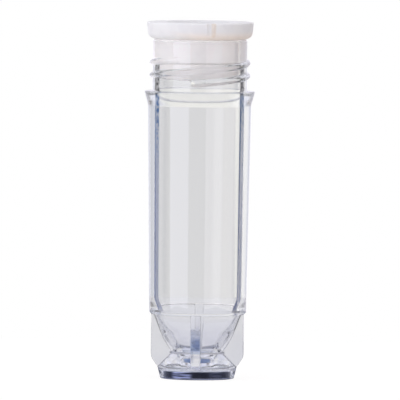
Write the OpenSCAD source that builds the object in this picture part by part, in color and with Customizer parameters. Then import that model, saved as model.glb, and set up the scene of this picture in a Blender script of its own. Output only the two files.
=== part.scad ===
// Rack-format storage vial: a clear moulded tube with an outside thread, a finned conical base,
// a dark code disc snapped into its foot, and a soft push-in stopper. Millimetres, +Z up.
// The origin is on the axis, at the face that the vial stands on.

/* [Bore] */
// Diameter of the bore at the neck, where the stopper seals
bore_d = 6.8; // [6.4:0.1:9]
// Draft of the bore below the neck, each side, in degrees
bore_draft = 0.34; // [0.2:0.02:0.5]
// Height above the ledge at which the lines of the bore and of the well's side would cross
well_rise = 1; // [0.4:0.05:1.4]
// Radius that blends the bore into the well's side
well_blend = 3; // [1:0.1:5]
// Depth below the ledge at which the lines of the well's side and slope would cross
well_turn = 1.1; // [0.5:0.05:1.2]
// How far the well's side leans in down to there
well_side_lean = 0.6; // [0.3:0.02:0.7]
// Radius of the bowl that blends the well's side into its slope
well_bowl = 5; // [1:0.1:5]
// Diameter of the well's floor
well_floor_d = 2.6; // [1.6:0.1:3.2]
// Height of the well's floor above the waist
well_floor_rise = 0.2; // [0.1:0.05:0.6]

/* [Neck] */
// Wall of the neck
neck_wall = 0.35; // [0.3:0.01:0.8]
// Height of the neck, from the collar's top to the rim
neck_h = 4.15; // [4.05:0.05:8]
// Radius of the rim's outer edge
rim_round = 0.18; // [0.05:0.01:0.2]
// Chamfer of the rim's inner edge
rim_lead_in = 0.08; // [0.02:0.01:0.1]

/* [Thread] */
// Number of thread starts
thread_starts = 2; // [1:1:3]
// Height that each ridge climbs in one turn
thread_lead = 2.0; // [1.5:0.1:2.2]
// Angle that each ridge goes round, in degrees
thread_sweep = 360; // [180:10:360]
// How far a ridge stands out of the neck
thread_height = 0.25; // [0.1:0.01:0.4]
// Width of a ridge at its root
thread_width = 0.54; // [0.3:0.02:0.6]
// Depth of a ridge's lower end below the rim
thread_depth = 3.47; // [2.8:0.01:3.6]
// Direction of the first ridge's lower end, in degrees from +X
thread_start = 259; // [0:1:360]
// Angle over which a ridge's lower end rises out of the neck, in degrees
thread_lead_in = 8; // [4:1:20]
// Angle over which a ridge's upper end sinks into the neck, in degrees
thread_run_out = 30; // [10:1:60]

/* [Barrel] */
// Wall of the barrel at its top
barrel_wall = 0.7; // [0.6:0.02:1.2]
// Height of the barrel, from the shoulder to the collar
barrel_h = 16.6; // [10:0.1:26]
// Draft of the barrel's outside, each side, in degrees
barrel_draft = 0.86; // [0.4:0.02:1]
// Height of the flared collar
collar_h = 1.1; // [0.6:0.05:2]
// How far the collar flares out past the barrel
collar_flare = 0.3; // [0.15:0.01:0.6]
// Height of the plain locating band at the barrel's lower end
band_h = 0.9; // [0.5:0.05:2]
// Radius of the band's lower edge
band_round = 0.25; // [0.05:0.05:0.3]

/* [Conical base] */
// Outer height of the cone, from the waist to the ledge
cone_h = 3.1; // [2.6:0.1:5]
// Width of the ledge where the barrel's wall ends above the cone
shoulder_ledge = 0.4; // [0.3:0.01:0.5]
// Depth below the ledge at which the lines of the cone's side and slope would cross
cone_turn = 2; // [1.4:0.05:2.1]
// How far the cone's side leans in down to there
cone_side_lean = 0.76; // [0.3:0.02:0.8]
// Radius of the bowl that blends the side into the slope
cone_blend = 4; // [1:0.1:4]
// Diameter of the waist, the narrowest place
waist_d = 3.95; // [3.6:0.05:4.5]
// Height of the waist above the standing face
waist_h = 2.05; // [1.8:0.05:3]
// Thickness of the web between the well's floor and the hole in the flare
web_t = 0.7; // [0.4:0.05:1]

/* [Fins] */
// Number of fins round the cone
fin_count = 4; // [3:1:6]
// Thickness of a fin at the shoulder
fin_top_t = 0.8; // [0.5:0.02:1.2]
// Thickness of a fin at the foot
fin_foot_t = 0.74; // [0.4:0.02:1]
// How far the fins' edges lie inside the barrel's lower end
fin_inset = 0.19; // [0.05:0.01:0.3]
// Height of the corner where a fin's edge turns in to the foot
fin_corner_h = 1.7; // [1.2:0.05:1.9]
// Radius of that corner
fin_corner_r = 0.8; // [0.3:0.05:1]

/* [Foot] */
// Height of the foot's rim
foot_rim_h = 0.88; // [0.85:0.01:1.2]
// Wall of the foot round the code disc, at the standing face
foot_wall = 0.2; // [0.18:0.01:0.5]
// Draft of the foot's outside, each side, in degrees
foot_draft = 14; // [4:1:16]
// Diameter of the domed hole that cores out the flare
flare_hole_d = 2.4; // [1.4:0.1:3]
// Radius of the dome's edge
flare_hole_round = 0.5; // [0.1:0.05:0.6]
// Gap between the disc and the flare's flat underside
flare_gap = 0.1; // [0.05:0.01:0.2]
// Radius of the foot's lower outer edge
foot_round = 0.12; // [0.05:0.01:0.15]

/* [Code disc] */
// Diameter of the code disc
disc_d = 5.4; // [4.8:0.02:6]
// Thickness of the code disc
disc_t = 0.62; // [0.4:0.01:0.7]
// Depth of the disc's face above the standing face
disc_recess = 0.13; // [0.06:0.01:0.15]
// Clearance round the disc in its pocket
disc_clearance = 0.02; // [0.01:0.01:0.05]
// How far the snap bead reaches in under the disc
snap_reach = 0.06; // [0.04:0.01:0.1]

/* [Stopper] */
// How far the stopper's head reaches out past the neck
head_overhang = 0.5; // [0.3:0.02:0.7]
// Height of the head
head_h = 1.36; // [1.1:0.02:2.5]
// How far the head's side leans in towards the neck
head_taper = 0.12; // [0:0.01:0.25]
// Radius of the head's lower edge
head_blend = 0.62; // [0.3:0.02:0.65]
// Diameter of the dished top
dish_d = 5.4; // [3:0.1:6]
// Depth of the dished top
dish_depth = 0.25; // [0.1:0.01:0.4]
// Length of the plug's sealing band
seal_h = 1.84; // [1:0.02:2.4]
// Length of the plug below the head
plug_h = 3.2; // [2.8:0.05:4]
// How far the plug steps in below its sealing band
plug_relief = 0.13; // [0.05:0.01:0.3]
// How far the plug's nose tapers in
nose_taper = 0.5; // [0.1:0.02:0.6]
// Height of the plug's tapered nose
nose_h = 0.66; // [0.4:0.02:0.85]
// Radius of the nose's lower edge
nose_round = 0.35; // [0.1:0.05:0.4]
// Wall of the plug round its core
plug_wall = 1.15; // [0.9:0.05:1.3]
// Thickness of the septum between the dish and the core
septum_t = 1.3; // [0.8:0.05:2]
// Clearance between the plug's sealing band and the bore
plug_clearance = 0.02; // [0.01:0.01:0.05]
// Direction of the gate notch in the head, in degrees from +X
notch_angle = 283; // [0:1:360]
// Depth of the gate notch
notch_depth = 0.13; // [0.05:0.01:0.2]
// Radius of the gate notch
notch_r = 0.45; // [0.2:0.01:0.6]

/* [Hidden] */
$fn = 96;

// Moulded edges and corners: of the hard vial, of its well's floor and waist, and of the soft stopper
edge = 0.06;
floor_round = 0.2;
waist_round = 0.15;
soft_round = 0.12;
core_round = 0.6;
core_draft = 0.1;

// Levels, from the standing face up
waist_z = waist_h;
floor_z = waist_z + well_floor_rise;
shoulder_z = waist_z + cone_h;
cone_turn_z = shoulder_z - cone_turn;
well_turn_z = shoulder_z - well_turn;
well_z = shoulder_z + well_rise;
band_z = shoulder_z + band_h;
collar_z = shoulder_z + barrel_h;
neck_z = collar_z + collar_h;
rim_z = neck_z + neck_h;

// Radii of the vial
bore_r = bore_d / 2;
well_r = bore_r - (neck_z - well_z) * tan(bore_draft);
well_turn_r = well_r - well_side_lean;
well_floor_r = well_floor_d / 2;
neck_r = bore_r + neck_wall;
barrel_top_r = bore_r + barrel_wall;
band_r = barrel_top_r - (collar_z - band_z) * tan(barrel_draft);
collar_r = barrel_top_r + collar_flare;
waist_r = waist_d / 2;
fin_r = band_r - fin_inset;

cone_top_r = band_r - shoulder_ledge;
cone_turn_r = cone_top_r - cone_side_lean;

// The foot and the pocket for the code disc
disc_r = disc_d / 2;
pocket_r = disc_r + disc_clearance;
pocket_z = disc_recess + disc_t;
foot_r = pocket_r + foot_wall;
foot_rim_r = foot_r + foot_rim_h * tan(foot_draft);
pocket_ledge = 0.15;
flare_z = pocket_z + flare_gap;
flare_hole_r = flare_hole_d / 2;
flare_hole_z = floor_z - web_t;

// The stopper, with its seat on the neck's rim
head_r = neck_r + head_overhang;
head_low_r = head_r - head_taper;
head_lift = 0.08;
seat_r = bore_r + rim_lead_in + edge;
plug_r = bore_r - plug_clearance;
shank_r = plug_r - plug_relief;
nose_r = shank_r - nose_taper;
core_r = shank_r - plug_wall;
core_top_z = rim_z + head_h - dish_depth - septum_t;

// Widest angle between two points of an arc, and how far a cut runs past what it cuts
arc_step = 12;
overlap = 0.1;

// Rounded outlines ------------------------------------------------------------------------------

function unit(v) = v / norm(v);

// Half the angle at b between the walls to a and to c
function half_angle(a, b, c) = acos(max(-1, min(1, unit(a - b) * unit(c - b)))) / 2;

// The arc of radius r that rounds the corner at b between a and c
function corner_arc(a, b, c, r) =
    let (
        u = unit(a - b),
        v = unit(c - b),
        half = half_angle(a, b, c),
        centre = b + unit(u + v) * r / sin(half),
        from = b + u * r / tan(half) - centre,
        to = b + v * r / tan(half) - centre,
        side = sign(from.x * to.y - from.y * to.x),
        turn = 180 - 2 * half,
        steps = max(2, ceil(turn / arc_step)),
        begin = atan2(from.y, from.x)
    )
    [for (i = [0:steps])
        let (angle = begin + side * turn * i / steps)
        centre + r * [cos(angle), sin(angle)]];

// An outline from corners [x, y, radius]: a radius of 0 keeps the corner sharp. Where a wall is too
// short for the arcs at both its ends, they share it in proportion and leave a little of it straight.
function rounded(corners) =
    let (
        n = len(corners),
        at = [for (corner = corners) [corner.x, corner.y]],
        before = function(i) (i + n - 1) % n,
        after = function(i) (i + 1) % n,
        reach = [for (i = [0:n - 1])
            corners[i].z / tan(half_angle(at[before(i)], at[i], at[after(i)]))],
        room = [for (i = [0:n - 1])
            let (wanted = reach[i] + reach[after(i)], wall = 0.98 * norm(at[after(i)] - at[i]))
            wanted > wall ? wall / wanted : 1]
    )
    [for (i = [0:n - 1])
        let (r = corners[i].z * min(room[i], room[before(i)]))
        each r == 0 ? [at[i]] : corner_arc(at[before(i)], at[i], at[after(i)], r)];

module turned(corners) {
    rotate_extrude() polygon(rounded(corners));
}

// The vial --------------------------------------------------------------------------------------

// Everything outside, turned as one solid profile
module vial_outside() {
    turned([
        [0, 0, 0],
        [foot_r, 0, foot_round],
        [foot_rim_r, foot_rim_h, edge],
        [waist_r, waist_z, waist_round],
        [cone_turn_r, cone_turn_z, cone_blend],
        [cone_top_r, shoulder_z, edge],
        [band_r, shoulder_z, band_round],
        [band_r, band_z, 0],
        [barrel_top_r, collar_z, 0],
        [collar_r, neck_z, edge],
        [neck_r, neck_z, edge],
        [neck_r, rim_z, rim_round],
        [0, rim_z, 0],
    ]);
}

// The bore and its well: a short side that leans in, a bowl and a slope down to the floor
module vial_inside() {
    turned([
        [0, floor_z, 0],
        [well_floor_r, floor_z, floor_round],
        [well_turn_r, well_turn_z, well_bowl],
        [well_r, well_z, well_blend],
        [bore_r, neck_z, 0],
        [bore_r, rim_z - rim_lead_in, 0],
        [bore_r + rim_lead_in, rim_z, 0],
        [bore_r + rim_lead_in, rim_z + overlap, 0],
        [0, rim_z + overlap, 0],
    ]);
}

// The hollow of the foot: the snap bead's mouth, the disc's pocket with the ledge that stops the
// disc, the air gap over it, and the domed hole that cores out the solid flare
module foot_inside() {
    turned([
        [0, -overlap, 0],
        [pocket_r, -overlap, 0],
        [pocket_r - snap_reach, disc_recess / 2, 0],
        [pocket_r - snap_reach, disc_recess - disc_clearance / 2, 0],
        [pocket_r, disc_recess, 0],
        [pocket_r, pocket_z, 0],
        [pocket_r - pocket_ledge, pocket_z, 0],
        [pocket_r - pocket_ledge, flare_z, 0],
        [flare_hole_r, flare_z, 0],
        [flare_hole_r, flare_hole_z, flare_hole_round],
        [0, flare_hole_z, 0],
    ]);
}

// The side view of one fin, from the axis outwards
module fin_outline() {
    polygon(rounded([
        [0, pocket_z, 0],
        [foot_rim_r - edge, pocket_z, 0],
        [foot_rim_r - edge, foot_rim_h - edge, 0],
        [fin_r, fin_corner_h, fin_corner_r],
        [fin_r, shoulder_z + overlap, 0],
        [0, shoulder_z + overlap, 0],
    ]));
}

// The front view of one fin: it is thinner at the foot, so that the mould opens downwards
module fin_section() {
    polygon([
        [-fin_foot_t / 2, 0],
        [fin_foot_t / 2, 0],
        [fin_top_t / 2, shoulder_z + overlap],
        [-fin_top_t / 2, shoulder_z + overlap],
    ]);
}

module fin() {
    intersection() {
        rotate([90, 0, 0])
            translate([0, 0, -fin_top_t])
                linear_extrude(2 * fin_top_t) fin_outline();
        rotate([90, 0, 90]) linear_extrude(fin_r + overlap) fin_section();
    }
}

module fins() {
    for (i = [0:fin_count - 1]) rotate([0, 0, i * 360 / fin_count]) fin();
}

// One thread ridge: a half-round section swept up a helix, its ends eased into the neck.
// ridge_ring and ridge_step set how many flats the section has, and how far apart the sections are.
ridge_ring = 7;
ridge_step = 8;
ridge_sunk = 0.12;
ridge_foot = 0.02;
root_r = neck_r - ridge_sunk;

// How much of its full height the ridge has at an angle along it
function ridge_rise(angle) =
    max(0, min(1, angle / thread_lead_in, (thread_sweep - angle) / thread_run_out));

function ridge_section(angle) =
    let (
        tall = (thread_height + ridge_sunk) * ridge_rise(angle),
        climb = rim_z - thread_depth + thread_lead * angle / 360
    )
    [for (i = [0:ridge_ring])
        let (
            a = -90 + 180 * i / ridge_ring,
            r = root_r + ridge_foot + tall * cos(a),
            z = climb + thread_width / 2 * sin(a)
        )
        [r * cos(angle), r * sin(angle), z],
     for (s = [1, -1])
        [root_r * cos(angle), root_r * sin(angle), climb + s * thread_width / 2]];

module thread_ridge() {
    steps = ceil(thread_sweep / ridge_step);
    n = ridge_ring + 3;
    points = [for (i = [0:steps]) each ridge_section(thread_sweep * i / steps)];
    sides = [for (i = [0:steps - 1], j = [0:n - 1], half = [0, 1])
        let (a = i * n + j, b = i * n + (j + 1) % n)
        half == 0 ? [a, b, a + n] : [b, b + n, a + n]];
    first = [for (j = [n - 1:-1:0]) j];
    last = [for (j = [n - 1, each [0:n - 2]]) steps * n + j];
    polyhedron(points, concat(sides, [first, last]));
}

module thread() {
    for (i = [0:thread_starts - 1])
        rotate([0, 0, thread_start + i * 360 / thread_starts]) thread_ridge();
}

module vial() {
    color([0.84, 0.88, 0.94, 0.45])
    difference() {
        union() {
            vial_outside();
            fins();
            thread();
        }
        vial_inside();
        foot_inside();
    }
}

// The code disc ---------------------------------------------------------------------------------

module code_disc() {
    color([0.05, 0.06, 0.11])
    turned([
        [0, disc_recess, 0],
        [disc_r, disc_recess, 0.04],
        [disc_r, pocket_z, 0.04],
        [0, pocket_z, 0],
    ]);
}

// The stopper -----------------------------------------------------------------------------------

module stopper_body() {
    nose_z = rim_z - plug_h;
    seal_z = rim_z - seal_h;
    top_z = rim_z + head_h;
    turned([
        [0, nose_z, 0],
        [nose_r, nose_z, nose_round],
        [shank_r, nose_z + nose_h, soft_round],
        [shank_r, seal_z - plug_relief, 0],
        [plug_r, seal_z, 0],
        [plug_r, rim_z, 0],
        [seat_r, rim_z, 0],
        [head_low_r, rim_z + head_lift, head_blend],
        [head_r, top_z, soft_round],
        [dish_d / 2, top_z, soft_round],
        [dish_d / 2 - dish_depth, top_z - dish_depth, soft_round],
        [0, top_z - dish_depth, 0],
    ]);
}

// The blind core that leaves the plug a springy wall
module stopper_core() {
    turned([
        [0, rim_z - plug_h - overlap, 0],
        [core_r, rim_z - plug_h - overlap, 0],
        [core_r - core_draft, core_top_z, core_round],
        [0, core_top_z, 0],
    ]);
}

module gate_notch() {
    rotate([0, 0, notch_angle])
        translate([head_r + notch_r - notch_depth, 0, rim_z + head_lift])
            cylinder(r = notch_r, h = head_h);
}

module stopper() {
    color([0.93, 0.92, 0.94])
    difference() {
        stopper_body();
        stopper_core();
        gate_notch();
    }
}

vial();
code_disc();
stopper();
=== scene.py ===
"""A clear cryovial with a soft push-in stopper and a dark code disc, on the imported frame."""

import math

import bpy
import numpy as np
from mathutils import Matrix, Vector

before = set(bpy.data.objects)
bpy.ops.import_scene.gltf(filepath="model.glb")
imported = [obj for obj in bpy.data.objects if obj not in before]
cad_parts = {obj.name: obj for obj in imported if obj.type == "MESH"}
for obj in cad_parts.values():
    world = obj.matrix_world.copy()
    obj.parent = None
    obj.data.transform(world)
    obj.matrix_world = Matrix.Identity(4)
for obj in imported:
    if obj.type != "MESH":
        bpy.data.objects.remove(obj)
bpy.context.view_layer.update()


# ---- The camera -----------------------------------------------------------------------------------
# A long lens about a metre away, nearly level with the vial's middle and a little to its right, so
# that the vial's rims show as thin ellipses. It is rolled by half a degree.

MM = 0.001
view_distance = 1.02
view_turn = math.radians(2.3)
view_rise = math.radians(2.75)
view_roll = math.radians(0.58)
view_target = Vector((0.105, 0, 14.19)) * MM
view_height = 31.8 * MM

back = Vector((
    math.sin(view_turn) * math.cos(view_rise),
    -math.cos(view_turn) * math.cos(view_rise),
    math.sin(view_rise),
))
camera_data = bpy.data.cameras.new("portrait")
camera_data.sensor_width = 36
camera_data.lens = camera_data.sensor_width * view_distance / view_height
camera_data.clip_start = 0.05
camera_data.clip_end = 10
camera = bpy.data.objects.new("portrait", camera_data)
bpy.context.scene.collection.objects.link(camera)
facing_vial = (-back).to_track_quat("-Z", "Y").to_matrix().to_4x4()
camera.matrix_world = (
    Matrix.Translation(view_target + back * view_distance)
    @ facing_vial
    @ Matrix.Rotation(view_roll, 4, "Z")
)
bpy.context.scene.camera = camera


# ---- The stand and its light ----------------------------------------------------------------------
# The vial stands on a white paper card 100 mm wide, in front of a white backdrop, with soft boxes
# round it. Clear plastic has no look of its own: it shows the room bent and mirrored, so the room is
# drawn in full, as colours by direction in the world, and there are no lamps.

def linear(code):
    """An sRGB hex colour as linear RGBA: each channel c is c/12.92, or ((c + 0.055)/1.055)^2.4."""
    c = np.array([int(code[i:i + 2], 16) / 255 for i in (1, 3, 5)])
    flat = np.where(c <= 0.04045, c / 12.92, ((c + 0.055) / 1.055) ** 2.4)
    return (*flat, 1.0)


def brighter(colour, by):
    return (*(channel * by for channel in colour[:3]), 1.0)


def node(tree, kind, *inputs, **named):
    """Adds a shader node and returns its outputs.

    Its inputs are given in order or by name, where i6 is input 6, and each is a value or another
    node's output. A name in small letters is one of the node's own settings.
    """
    made = tree.nodes.new("ShaderNode" + kind)
    given = dict(enumerate(inputs))
    for name, value in named.items():
        if name[0] == "i" and name[1:].isdigit():
            given[int(name[1:])] = value
        elif name[0].isupper():
            given[name.replace("_", " ")] = value
        else:
            setattr(made, name, value)
    for key, value in given.items():
        if isinstance(value, bpy.types.NodeSocket):
            tree.links.new(value, made.inputs[key])
        else:
            made.inputs[key].default_value = value
    return made.outputs


smooth = {"interpolation_type": "SMOOTHSTEP"}


def where_all(tree, *masks):
    """The product of masks, which is 1 only where every one is 1."""
    product = masks[0]
    for mask in masks[1:]:
        product = node(tree, "Math", product, mask, operation="MULTIPLY")[0]
    return product


def where_any(tree, *masks):
    """The largest of masks, which is 1 where any one is 1."""
    largest = masks[0]
    for mask in masks[1:]:
        largest = node(tree, "Math", largest, mask, operation="MAXIMUM")[0]
    return largest


def window(tree, value, low, high, soft):
    """1 where value lies between low and high, fading to 0 over a stretch soft at each end."""
    rising = node(tree, "MapRange", value, low - soft / 2, low + soft / 2, **smooth)[0]
    falling = node(tree, "MapRange", value, high - soft / 2, high + soft / 2, 1.0, 0.0, **smooth)[0]
    return where_all(tree, rising, falling)


def sector(tree, angle, low, high, soft):
    """A window over an angle, with its limits in degrees."""
    return window(tree, angle, math.radians(low), math.radians(high), math.radians(soft))


def coated(tree, colour, *coats):
    """A colour with coats over it. Each coat is a share from 0 to 1, and its own colour."""
    for share, coat in coats:
        colour = node(tree, "Mix", share, i6=colour, i7=coat, data_type="RGBA")[2]
    return colour


def empty_material(name):
    material = bpy.data.materials.new(name)
    material.use_nodes = True
    material.node_tree.nodes.clear()
    return material


# Directions are a rise above the horizon and a turn round the vertical, which is 0 behind the
# camera, 90 at its right and 180 behind the vial. A strength of 1 is the white of the paper.
white = linear("#ffffff")
low_backdrop = linear("#dcdcde")
high_backdrop = linear("#f8f7f2")
ceiling = linear("#d6d8e4")
edge_light = (1.05, 1.04, 1.0, 1)
flag_colour = linear("#27324c")
turned_left = linear("#d8dbe3")
turned_right = linear("#f0f0ef")
turned_aside = linear("#eceefa")
turned_least = linear("#b4bbc9")
# Limits of rise and turn in degrees, with the soft edge where there is one.
backdrop_rise = (-1.5, 7)
ceiling_rise = (16, 120, 5)
strip_rise, strip_turn = (-7, 14, 2), (152, 168, 5)
tall_strip_rise, tall_strip_turn = (2, 30, 5), (100, 172, 8)
flag_rise, flag_turn = (-7, 3, 2), (100, 153, 3)
cards_rise, cards_turn = (-9, 7, 4), (186, 174)
dim_card_rise, dim_card_turn = (-4.8, -0.8, 1), (172, 192, 4)
dark_card_turn = (100, 129, 2)


def seen_through(tree, path, rise, turn):
    """What a ray that left the vial sees: the backdrop, or the room's sides where a wall turned it.

    The backdrop is dimmer low down, and a ceiling is over it. At its right edge stands a strip
    light, and past that a dark flag. A ray that a wall mirrored on its way sees cards at the sides.
    """
    upwards = node(tree, "MapRange", rise, *np.radians(backdrop_rise), **smooth)[0]
    strip = where_any(
        tree,
        where_all(tree, sector(tree, rise, *strip_rise), sector(tree, turn, *strip_turn)),
        where_all(tree, sector(tree, rise, *tall_strip_rise), sector(tree, turn, *tall_strip_turn)),
    )
    flag = where_all(tree, sector(tree, rise, *flag_rise), sector(tree, turn, *flag_turn))
    backdrop = coated(
        tree, low_backdrop,
        (upwards, high_backdrop),
        (sector(tree, rise, *ceiling_rise), ceiling),
        (strip, edge_light),
        (flag, flag_colour),
    )
    rightward = node(tree, "MapRange", turn, *np.radians(cards_turn), **smooth)[0]
    dim_card = where_all(
        tree, sector(tree, turn, *dim_card_turn), sector(tree, rise, *dim_card_rise))
    cards = coated(
        tree, turned_left,
        (rightward, turned_right),
        (dim_card, turned_least),
        (sector(tree, turn, *dark_card_turn), flag_colour),
    )
    cards = coated(tree, turned_aside, (sector(tree, rise, *cards_rise), cards))
    was_mirrored = node(tree, "Math", path["Glossy Depth"], 1.0, operation="MINIMUM")[0]
    return coated(tree, backdrop, (was_mirrored, cards))


def is_unscattered(tree, path):
    """1 for a ray that met only clear or glossy surfaces, and 0 for one that lights a surface."""
    return node(tree, "Math", path["Diffuse Depth"], 0.5, operation="LESS_THAN")[0]


def is_straight(tree, path):
    """1 for a ray from the camera that comes out of the vial."""
    return where_all(tree, path["Is Transmission Ray"], is_unscattered(tree, path))


room_colour = linear("#a09c9a")
table_colour = linear("#f4f4f8")
table_rise = (-120, -11, 8)
top_rise = (55, 120, 20)
box_rise = (-24, 38, 10)
boxes = [
    # from, to and soft edge in degrees of turn, then colour and strength
    (-67, -21.5, 2.5, "#f0f0ff", 2.9),
    (17, 44, 3, "#f8f2f6", 2.0),
    (36, 60, 14, "#f8f4f6", 3.2),
    (60, 96, 6, "#fff6ee", 1.9),
    (110, 118, 2, "#fffaf2", 3.0),
    (118, 164, 2, "#f6f4ff", 1.1),
    (164, 216, 6, "#f6f4ff", 1.15),
]
lamp_side = Vector((-0.9, -0.43, 0))
light_side_colour = (1.34, 1.35, 1.42, 1)
dark_side_colour = (0.4, 0.375, 0.38, 1)
warm_from_below = (1.6, 1.46, 1.34, 1)
below_rise = (-4, -35)
through_wall = 1.5

world = bpy.data.worlds.new("studio")
world.use_nodes = True
bpy.context.scene.world = world
tree = world.node_tree
tree.nodes.clear()
path = node(tree, "LightPath")
way = node(tree, "TexCoord")["Generated"]
way_x, way_y, way_z = node(tree, "SeparateXYZ", way)
towards_camera = node(tree, "Math", way_y, -1.0, operation="MULTIPLY")[0]
turn = node(tree, "Math", way_x, towards_camera, operation="ARCTAN2")[0]
turn = node(tree, "Math", turn, math.pi / 2, operation="ADD")[0]
turn = node(tree, "Math", turn, 2 * math.pi, operation="FLOORED_MODULO")[0]
turn = node(tree, "Math", turn, math.pi / 2, operation="SUBTRACT")[0]
rise = node(tree, "Math", way_z, operation="ARCSINE")[0]

# What the vial mirrors: the grey room, the soft boxes, the table below and a white top.
mirrored = room_colour
for start, end, edge, colour, strength in boxes:
    box = where_all(tree, sector(tree, rise, *box_rise), sector(tree, turn, start, end, edge))
    mirrored = coated(tree, mirrored, (box, brighter(linear(colour), strength)))
mirrored = coated(
    tree, mirrored,
    (sector(tree, rise, *table_rise), table_colour),
    (sector(tree, rise, *top_rise), white),
)

# What lights the matt surfaces: a bright left, a dim right, and warm light from the card below. A
# wall round a white plug lets through less than the air does, so light that crossed one is raised.
side = node(tree, "VectorMath", way, lamp_side, operation="DOT_PRODUCT")["Value"]
side = node(tree, "MapRange", side, -1.0, 1.0)[0]
lighting = coated(tree, dark_side_colour, (side, light_side_colour))
below = node(tree, "MapRange", rise, *np.radians(below_rise))[0]
lighting = node(tree, "Mix", below, i6=lighting, i7=warm_from_below,
                data_type="RGBA", blend_type="MULTIPLY")[2]
gain = node(tree, "MapRange", path["Is Transmission Ray"], 0.0, 1.0, 1.0, through_wall)[0]
lighting = node(tree, "VectorMath", lighting, Scale=gain, operation="SCALE")[0]
sky = coated(
    tree, lighting,
    (is_unscattered(tree, path), mirrored),
    (is_straight(tree, path), seen_through(tree, path, rise, turn)),
    (path["Is Camera Ray"], white),
)
background = node(tree, "Background", Color=sky, Strength=1.0)[0]
node(tree, "OutputWorld", Surface=background)

# The card glows where the camera looks at it, straight or through the vial, and takes the vial's
# faint shadow with the rest of its share. The matt surfaces get its warm light from below. A wall
# that mirrors it at a low slant shows it navy, as a bench in shade would be, and white from above.
card_half = 50 * MM
card_white = linear("#f4f0ec")
card_in_view = (1.04, 1.04, 1.04, 1)
card_through_vial = brighter(low_backdrop, 1.172)
card_lighting = (1.45, 1.4, 1.37, 1)
card_mirrored = linear("#4c5676")
seen_share = 0.86
lighting_share = 0.6
from_above_slant = (0.07, 0.17)

floor_mesh = bpy.data.meshes.new("floor")
floor_mesh.from_pydata(
    [(x * card_half, y * card_half, 0) for x, y in ((-1, -1), (1, -1), (1, 1), (-1, 1))],
    [], [(0, 1, 2, 3)],
)
floor = bpy.data.objects.new("floor", floor_mesh)
bpy.context.scene.collection.objects.link(floor)
paper = empty_material("white paper")
tree = paper.node_tree
path = node(tree, "LightPath")
in_view = where_any(tree, path["Is Camera Ray"], is_straight(tree, path))
lights_up = node(tree, "Math", path["Diffuse Depth"], 0.5, operation="GREATER_THAN")[0]
seen = coated(
    tree, card_through_vial,
    (path["Is Camera Ray"], card_in_view),
    (lights_up, card_lighting),
)
glow_share = where_any(
    tree,
    where_all(tree, in_view, seen_share),
    where_all(tree, lights_up, lighting_share),
)
slant = node(tree, "LayerWeight", Blend=0.5)["Facing"]
from_above = node(tree, "MapRange", slant, *from_above_slant, 1.0, 0.0, **smooth)[0]
mirrored_card = coated(tree, card_mirrored, (from_above, card_white))
card_colour = coated(tree, card_white, (path["Is Glossy Ray"], mirrored_card))
lit = node(tree, "BsdfDiffuse", Color=card_colour)[0]
glow = node(tree, "Emission", Color=seen, Strength=1.0)[0]
both = node(tree, "MixShader", glow_share, lit, glow)[0]
node(tree, "OutputMaterial", Surface=both)
floor_mesh.materials.append(paper)


# ---- The vial -------------------------------------------------------------------------------------
# One clear moulding: neck and thread, collar, barrel, conical well, four fins and hollow foot. It
# is clarified polypropylene, injected into a polished mould, so its walls are glossy inside and out.
# Only the fins and the collar come from spark-eroded parts of the mould and are a little matt.

# A fin's two flat sides face round the axis: their normals lean that way by more than a half.
fin_lean = 0.5

clear = empty_material("clarified polypropylene")
tree = clear.node_tree
geometry = node(tree, "NewGeometry")
leaving = geometry["Backfacing"]
entering = node(tree, "Math", 1.0, leaving, operation="SUBTRACT")[0]
spot = node(tree, "TexCoord")["Object"]
x, y, z = node(tree, "SeparateXYZ", spot)
flat_spot = node(tree, "VectorMath", spot, (1, 1, 0), operation="MULTIPLY")[0]
reach = node(tree, "VectorMath", flat_spot, operation="LENGTH")["Value"]
around = node(tree, "VectorMath", (0, 0, 1), flat_spot, operation="CROSS_PRODUCT")[0]
around = node(tree, "VectorMath", around, operation="NORMALIZE")[0]
sideways = node(tree, "VectorMath", geometry["Normal"], around, operation="DOT_PRODUCT")["Value"]
aside = node(tree, "Math", sideways, operation="ABSOLUTE")[0]
fin_side = node(tree, "Math", aside, fin_lean, operation="GREATER_THAN")[0]
not_fin_side = node(tree, "Math", aside, fin_lean, operation="LESS_THAN")[0]
right_half = node(tree, "Math", x, 0.0, operation="GREATER_THAN")[0]

# The solid's round walls are many narrow flats. A turned wall gets a normal that points straight to
# the axis, so that the flats don't show. Its edges are rounded by the mould's own 0.12 mm.
flat_lean = 0.15
fins_reach = 3.5 * MM
fins_top = 5.2 * MM
edge_round = 0.12 * MM
no_fins_here = where_any(
    tree,
    node(tree, "Math", reach, fins_reach, operation="LESS_THAN")[0],
    node(tree, "Math", z, fins_top, operation="GREATER_THAN")[0],
)
turned_wall = where_all(
    tree, node(tree, "Math", aside, flat_lean, operation="LESS_THAN")[0], no_fins_here)
astray = node(tree, "Math", sideways, turned_wall, operation="MULTIPLY")[0]
astray = node(tree, "VectorMath", around, Scale=astray, operation="SCALE")[0]
true_normal = node(tree, "VectorMath", geometry["Normal"], astray, operation="SUBTRACT")[0]
true_normal = node(tree, "VectorMath", true_normal, operation="NORMALIZE")[0]
rounded_edge_normal = node(tree, "Bevel", Radius=edge_round, Normal=true_normal, samples=6)[0]
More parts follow.
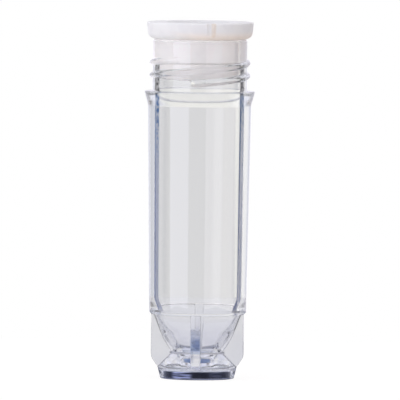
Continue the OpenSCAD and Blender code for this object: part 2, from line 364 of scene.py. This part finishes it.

# The bore's two sides get a painted blue line each, a painted reflection of the room's dark
# corners, at the slant where the wall starts to mirror. Facing is 0 for a wall seen straight on and 1
# for one seen edge on. Flow marks of about 0.24 mm, 4.2 to the mm, break the painted lines up under
# the collar and in the neck.
bore_reach = 3.55 * MM
bore_z = (fins_top, fins_top + 0.5 * MM)
line_slants = (0.229, 0.287, 0.016)
left_core_slants = (0.266, 0.289, 0.008)
right_core_slants = (0.227, 0.246, 0.008)
low_strength, right_strength, core_strength = 0.68, 0.82, 0.88
flow_marks_per_mm = 4.2
mark_contrast = (0.42, 0.58)
mark_strength = 0.5
marks_z = (15 * MM, 22 * MM)
upper_barrel_z = (14 * MM, 21 * MM)
neck_z = (22.6 * MM, 22.9 * MM)
bore_face = where_all(
    tree,
    node(tree, "Math", reach, bore_reach, operation="LESS_THAN")[0],
    node(tree, "MapRange", z, *bore_z, **smooth)[0],
)
facing = node(tree, "LayerWeight", Blend=0.5, Normal=true_normal)["Facing"]
line = where_all(tree, window(tree, facing, *line_slants), leaving)
marks = node(tree, "TexNoise", Vector=spot, Scale=flow_marks_per_mm / MM, Detail=1.0)[0]
marks = node(tree, "MapRange", marks, *mark_contrast, **smooth)[0]
marked = node(tree, "MapRange", z, *marks_z, 0.0, mark_strength, **smooth)[0]
unmarked = node(tree, "Math", 1.0, where_all(tree, marks, marked), operation="SUBTRACT")[0]
# The right line is painted no weaker than 0.82, and each line gets a darker painted core, at its
# outer side on the left and its inner side on the right: painted shade that follows the light.
strength = node(tree, "MapRange", z, *marks_z, low_strength, 1.0, **smooth)[0]
strength = where_any(
    tree, where_all(tree, strength, unmarked), where_all(tree, right_half, right_strength))
painted_line_core = node(tree, "Mix", right_half,
                 i2=window(tree, facing, *left_core_slants),
                 i3=window(tree, facing, *right_core_slants))[0]
painted_line_share = where_any(
    tree,
    where_all(tree, line, strength, bore_face),
    where_all(tree, painted_line_core, leaving, bore_face, core_strength),
)
painted_line_tint = coated(
    tree, linear("#0c4088"),
    (node(tree, "MapRange", z, *upper_barrel_z, **smooth)[0], linear("#12548c")),
    (node(tree, "MapRange", z, *neck_z, **smooth)[0], linear("#06080e")),
)

# Edges below the barrel get thin grey-blue lines of painted shade where the rounding turns the
# surface away, but not at the roots of the fins. The waist gets one sharp painted line. Heights are
# above the bench, and cone and flare run straight between the waist and their wide ends.
waist_z, waist_reach = 2.1 * MM, 1.95 * MM
cone_end_z, cone_end_reach = 5.0 * MM, 3.75 * MM
flare_end_z, flare_end_reach = 1.0 * MM, 3.05 * MM
root_width = 0.3 * MM
rounded = (0.88, 0.995)
edges_z = (0.85 * MM, 5.5 * MM, 0.4 * MM)
waist_line_z = (1.98 * MM, 2.14 * MM, 0.06 * MM)
waist_line_reach = (1.8 * MM, 2.2 * MM, 0.05 * MM)
edge_strength, waist_strength = 0.5, 0.55
cone_reach = node(tree, "MapRange", z, waist_z, cone_end_z, waist_reach, cone_end_reach)[0]
flare_reach = node(tree, "MapRange", z, waist_z, flare_end_z, waist_reach, flare_end_reach)[0]
body_reach = where_any(tree, cone_reach, flare_reach)
clear_of_body = node(tree, "Math", reach, body_reach, operation="SUBTRACT")[0]
fin_root = where_all(
    tree, node(tree, "Math", clear_of_body, root_width, operation="LESS_THAN")[0], fin_side)
bend = node(tree, "VectorMath", rounded_edge_normal, true_normal, operation="DOT_PRODUCT")["Value"]
painted_edge_share = where_all(
    tree,
    node(tree, "MapRange", bend, *rounded, 1.0, 0.0, **smooth)[0],
    window(tree, z, *edges_z),
    edge_strength,
    entering,
    node(tree, "Math", 1.0, fin_root, operation="SUBTRACT")[0],
)
painted_waist_line = where_all(
    tree, window(tree, z, *waist_line_z), window(tree, reach, *waist_line_reach))
painted_edge_share = where_any(tree, painted_edge_share, where_all(tree, painted_waist_line, waist_strength))
painted_dark_share = where_any(tree, painted_line_share, painted_edge_share)
painted_dark_tint = coated(
    tree, painted_line_tint,
    (node(tree, "MapRange", painted_edge_share, 0.0, 0.1, **smooth)[0], linear("#3c4662")),
    (painted_waist_line, linear("#26365e")),
)

# The plastic itself is nearly white, with faint clouds about 2 mm wide (0.45 to the mm) in the cone
# where it is thick. The well's end is painted greyer, a painted shade, and the foot's wall gets a
# painted shade toward the disc's navy.
below_barrel_z = (4.6 * MM, 6.2 * MM)
well_end_reach = 1.9 * MM
well_end_z = (2.2 * MM, 2.56 * MM, 0.06 * MM)
clouds_per_mm = Vector((0.45, 0.45, 0.6))
clouds_start = (3.1, 0.4, 1.7)
cloud_contrast = (0.4, 0.6)
clouds_z = (3.2 * MM, 4.8 * MM)
disc_x = (-2.6 * MM, 2.6 * MM, 0.3 * MM)
disc_z = (0.6 * MM, 0.72 * MM)
below_barrel = node(tree, "MapRange", z, *below_barrel_z, 1.0, 0.0, **smooth)[0]
well_end_painted_shade = where_all(
    tree,
    node(tree, "Math", reach, well_end_reach, operation="LESS_THAN")[0],
    window(tree, z, *well_end_z),
)
cloud_spot = node(tree, "Mapping", Vector=spot, Location=clouds_start, Scale=clouds_per_mm / MM)[0]
clouds = node(tree, "TexNoise", Vector=cloud_spot, Scale=1.0, Detail=1.0)[0]
clouds = where_all(
    tree,
    node(tree, "MapRange", clouds, *cloud_contrast, **smooth)[0],
    node(tree, "MapRange", z, *clouds_z, 1.0, 0.0, **smooth)[0],
)
painted_disc_shade = where_all(
    tree,
    window(tree, x, *disc_x),
    node(tree, "MapRange", z, *disc_z, 1.0, 0.0, **smooth)[0],
)
body_tint = coated(
    tree, linear("#fcfcfc"),
    (below_barrel, linear("#fdfdff")),
    (well_end_painted_shade, linear("#d8dde8")),
    (clouds, linear("#f7f7fb")),
    (painted_disc_shade, linear("#ccd2ee")),
)

# The lip of the neck is painted white, a painted highlight along its rim. The outer edges of the
# fins are tinted grey-lavender at the foot, a painted shade, and the front fin's edge has a painted
# blue strip that fades upwards, a painted reflection.
lip_z = (26.8 * MM, 26.95 * MM)
lip_share = 0.5
fin_edge_reach = 3.35 * MM
fin_half = 0.5 * MM
fin_foot_top = 2.0 * MM
fin_foot_width = 0.08 * MM
strip_foot = 2.12 * MM
strip_z = (2.4 * MM, 4.6 * MM)
strip_share = 0.75
painted_lip_highlight = node(tree, "MapRange", z, *lip_z, 0.0, lip_share, **smooth)[0]
at_fin_edge = node(tree, "Math", reach, fin_edge_reach, operation="GREATER_THAN")[0]
painted_fin_foot_shade = where_all(
    tree,
    node(tree, "Math", clear_of_body, fin_foot_width, operation="GREATER_THAN")[0],
    not_fin_side,
    node(tree, "Math", z, fin_foot_top, operation="LESS_THAN")[0],
)
off_middle = node(tree, "Math", x, operation="ABSOLUTE")[0]
painted_fin_strip = where_all(
    tree,
    at_fin_edge,
    node(tree, "Math", off_middle, fin_half, operation="LESS_THAN")[0],
    node(tree, "Math", y, 0.0, operation="LESS_THAN")[0],
    not_fin_side,
    node(tree, "Math", z, strip_foot, operation="GREATER_THAN")[0],
    node(tree, "MapRange", z, *strip_z, strip_share, 0.0, **smooth)[0],
)
tint = coated(
    tree, body_tint,
    (painted_dark_share, painted_dark_tint),
    (painted_lip_highlight, white),
    (painted_fin_foot_shade, linear("#dfe0ec")),
    (painted_fin_strip, linear("#b4c8f0")),
)
clearness = node(tree, "Math", 1.0, where_any(tree, painted_dark_share, painted_lip_highlight), operation="SUBTRACT")[0]

# Polished walls have a roughness of 0.02. The fins are matt enough to blur what is behind them, and
# the collar's flare is satin. Rays that leave through a fin's root keep the plain normal, because
# a rounded one would draw a dark line there.
polished, matt_fin, satin_collar = 0.02, 0.2, 0.09
matt_top = 5.12 * MM
satin_z = (21.5 * MM, 22.9 * MM, 0.1 * MM)
satin_reach = 3.77 * MM
root_z = (2.25 * MM, 5.0 * MM, 0.02 * MM)
fin = where_all(
    tree,
    where_any(tree, fin_side, at_fin_edge),
    node(tree, "Math", z, matt_top, operation="LESS_THAN")[0],
)
collar = where_all(
    tree,
    window(tree, z, *satin_z),
    node(tree, "Math", reach, satin_reach, operation="GREATER_THAN")[0],
)
roughness = where_any(
    tree,
    node(tree, "MapRange", fin, 0.0, 1.0, polished, matt_fin, **smooth)[0],
    where_all(tree, collar, satin_collar),
)
leaves_by_root = where_all(
    tree,
    node(tree, "Math", clear_of_body, root_width / 2, operation="LESS_THAN")[0],
    window(tree, z, *root_z),
    leaving,
)
shaped = node(tree, "Mix", leaves_by_root, i4=rounded_edge_normal, i5=true_normal, data_type="VECTOR")[1]
surface = node(tree, "BsdfPrincipled", Base_Color=tint, Roughness=roughness, IOR=1.49,
               Transmission_Weight=clearness, Normal=shaped)[0]
node(tree, "OutputMaterial", Surface=surface)
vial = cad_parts["vial"]
vial.data.materials.clear()
vial.data.materials.append(clear)


def smooth_moulding(piece, crease):
    """Welds the solid's loose triangles, and shades them smoothly up to a crease angle in degrees.

    Each corner's normal is the mean of its faces' normals by area, so that a small rounded edge
    doesn't bend the light on the long wall next to it.
    """
    weld = piece.modifiers.new("weld", "WELD")
    weld.merge_threshold = 1e-7
    split = piece.modifiers.new("crease", "EDGE_SPLIT")
    split.split_angle = math.radians(crease)
    normals = piece.modifiers.new("normals", "WEIGHTED_NORMAL")
    normals.mode = "FACE_AREA"
    piece.data.shade_smooth()


mould_crease = 13.5
smooth_moulding(vial, mould_crease)


# ---- The code disc --------------------------------------------------------------------------------
# A thin round plate of navy styrene plastic, moulded and snapped into the foot from below, behind a
# small bead. Its code is on the hidden underside.

# Streaks lie along the disc's edge: about 2.4 mm long and 0.1 mm high, 0.42 and 9 to the mm. They
# are pale only in two patches, left and right of the middle, where they are painted highlights.
streaks_per_mm = Vector((0.42, 0.42, 9))
streak_contrast = (0.44, 0.55)
left_highlight_x = (-1.7 * MM, -0.4 * MM, 0.5 * MM)
right_highlight_x = (1.1 * MM, 1.9 * MM, 0.5 * MM)
right_highlight_share = 0.15
top_reach = (0.8 * MM, 2.2 * MM)
top_z = (0.62 * MM, 0.745 * MM)
edge_navy = linear("#02040e")
painted_highlight_pale = linear("#fcfdff")
painted_top_middle = linear("#86a2d4")
painted_top_rim = linear("#f2f9ff")

navy = empty_material("navy moulded styrene")
tree = navy.node_tree
spot = node(tree, "TexCoord")["Object"]
x, y, z = node(tree, "SeparateXYZ", spot)
flat_spot = node(tree, "VectorMath", spot, (1, 1, 0), operation="MULTIPLY")[0]
reach = node(tree, "VectorMath", flat_spot, operation="LENGTH")["Value"]
streak_spot = node(tree, "Mapping", Vector=spot, Scale=streaks_per_mm / MM)[0]
streaks = node(tree, "TexNoise", Vector=streak_spot, Scale=1.0, Detail=2.0)[0]
streaks = node(tree, "MapRange", streaks, *streak_contrast, **smooth)[0]
left_highlight = window(tree, x, *left_highlight_x)
right_highlight = where_all(tree, window(tree, x, *right_highlight_x), right_highlight_share)
painted_highlights = node(tree, "Math", left_highlight, right_highlight, operation="ADD")[0]
edge_tint = coated(tree, edge_navy, (where_all(tree, streaks, painted_highlights), painted_highlight_pale))
# The top face is painted light blue, whiter towards its rim: painted light on the navy plate.
outward = node(tree, "MapRange", reach, *top_reach, **smooth)[0]
painted_top_tint = coated(tree, painted_top_middle, (outward, painted_top_rim))
on_top = node(tree, "MapRange", z, *top_z, **smooth)[0]
tint = coated(tree, edge_tint, (on_top, painted_top_tint))
surface = node(tree, "BsdfPrincipled", Base_Color=tint, Roughness=0.3, IOR=1.5,
               Specular_IOR_Level=0.05)[0]
node(tree, "OutputMaterial", Surface=surface)
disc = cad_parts["code_disc"]
disc.data.materials.clear()
disc.data.materials.append(navy)
smooth_moulding(disc, mould_crease)


# ---- The stopper ----------------------------------------------------------------------------------
# A soft plug with a dished head, moulded in one shot from a white thermoplastic elastomer. It is
# pushed into the neck and held there by its sealing band, which the bore squeezes.

# A matt, slightly waxy white that lets light a little way in. The head's underside is painted warmer
# at the right, a painted warm light from a warm box there, and the notch at its side has a pale tan
# streak of painted shade.
head_white = linear("#dededf")
head_painted_warm = linear("#e2d8d0")
plug_painted_brighter = linear("#fdfafa")
notch_painted_shade_tan = linear("#d4c4b2")
mottle_grey = linear("#fafafb")
head_z = 27.02 * MM
cool_z = (27.1 * MM, 27.8 * MM)
cool_x = (-3.0 * MM, 1.0 * MM)
gate_turn = math.radians(287)
gate_reach = 4.2 * MM
notch_shade_size = (0.1 * MM, 0.26 * MM)
notch_shade_share = 0.5
light_depth = 0.6 * MM

elastomer = empty_material("white elastomer")
tree = elastomer.node_tree
spot = node(tree, "TexCoord")["Object"]
x, y, z = node(tree, "SeparateXYZ", spot)
flat_spot = node(tree, "VectorMath", spot, (1, 1, 0), operation="MULTIPLY")[0]
outside_painted_warmth = where_any(
    tree,
    node(tree, "MapRange", z, *cool_z, **smooth)[0],
    node(tree, "MapRange", x, *cool_x, 1.0, 0.0, **smooth)[0],
)
# The plug below the head is painted brighter than the head: painted light that makes up for what the
# vial's wall holds back.
plug = node(tree, "Math", z, head_z, operation="LESS_THAN")[0]
gate_spot = Vector((math.cos(gate_turn), math.sin(gate_turn), 0)) * gate_reach
from_gate = node(tree, "VectorMath", flat_spot, gate_spot, operation="DISTANCE")["Value"]
painted_notch_shade = node(tree, "MapRange", from_gate, *notch_shade_size, notch_shade_share, 0.0, **smooth)[0]
tint = coated(tree, head_painted_warm, (outside_painted_warmth, head_white), (plug, plug_painted_brighter), (painted_notch_shade, notch_painted_shade_tan))

# Soft mottling about 0.9 mm wide (1.1 to the mm) shifts the white and the gloss a little, and the
# moulded skin has a grain of about 0.14 mm (7 to the mm), at most 12 micrometres deep, at a quarter
# of its strength.
mottles_per_mm = 1.1
mottle_contrast = (0.35, 0.65)
mottle_roughness = (0.42, 0.58)
grains_per_mm = 7
grain_depth = 0.012 * MM
mottle = node(tree, "TexNoise", Vector=spot, Scale=mottles_per_mm / MM, Detail=3.0)[0]
mottled = node(tree, "MapRange", mottle, *mottle_contrast, **smooth)[0]
tint = node(tree, "Mix", mottled, i6=tint, i7=mottle_grey, data_type="RGBA", blend_type="MULTIPLY")[2]
roughness = node(tree, "MapRange", mottle, *mottle_contrast, *mottle_roughness, **smooth)[0]
grain = node(tree, "TexNoise", Vector=spot, Scale=grains_per_mm / MM, Detail=2.0)[0]
skin = node(tree, "Bump", Strength=0.25, Distance=grain_depth, Height=grain)[0]
surface = node(tree, "BsdfPrincipled", Base_Color=tint, Roughness=roughness, IOR=1.48,
               Specular_IOR_Level=0.15, Subsurface_Weight=0.4, Subsurface_Scale=light_depth,
               Subsurface_Radius=(1.0, 0.95, 0.92), Normal=skin)[0]
node(tree, "OutputMaterial", Surface=surface)
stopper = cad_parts["stopper"]
stopper.data.materials.clear()
stopper.data.materials.append(elastomer)

# The free plug is a little larger than the bore. The band stands out by 0.04 mm here, so that it
# meets the wall and no film of air shows.
seal_low, seal_high = 25.1 * MM, 27.01 * MM
seal_squeeze = 0.04 * MM
seal = stopper.vertex_groups.new(name="sealing band")
seal.add([v.index for v in stopper.data.vertices if seal_low < v.co.z < seal_high], 1.0, "REPLACE")
squeeze = stopper.modifiers.new("squeezed against the bore", "DISPLACE")
squeeze.vertex_group = seal.name
squeeze.mid_level = 0
squeeze.strength = seal_squeeze
smooth_moulding(stopper, mould_crease)


# ---- How light is followed ------------------------------------------------------------------------
# Clear walls need many bounces, because light crosses eight surfaces and more on its way through.

scene = bpy.context.scene
scene.view_settings.view_transform = "Standard"
scene.cycles.max_bounces = 24
scene.cycles.transmission_bounces = 24
scene.cycles.glossy_bounces = 12
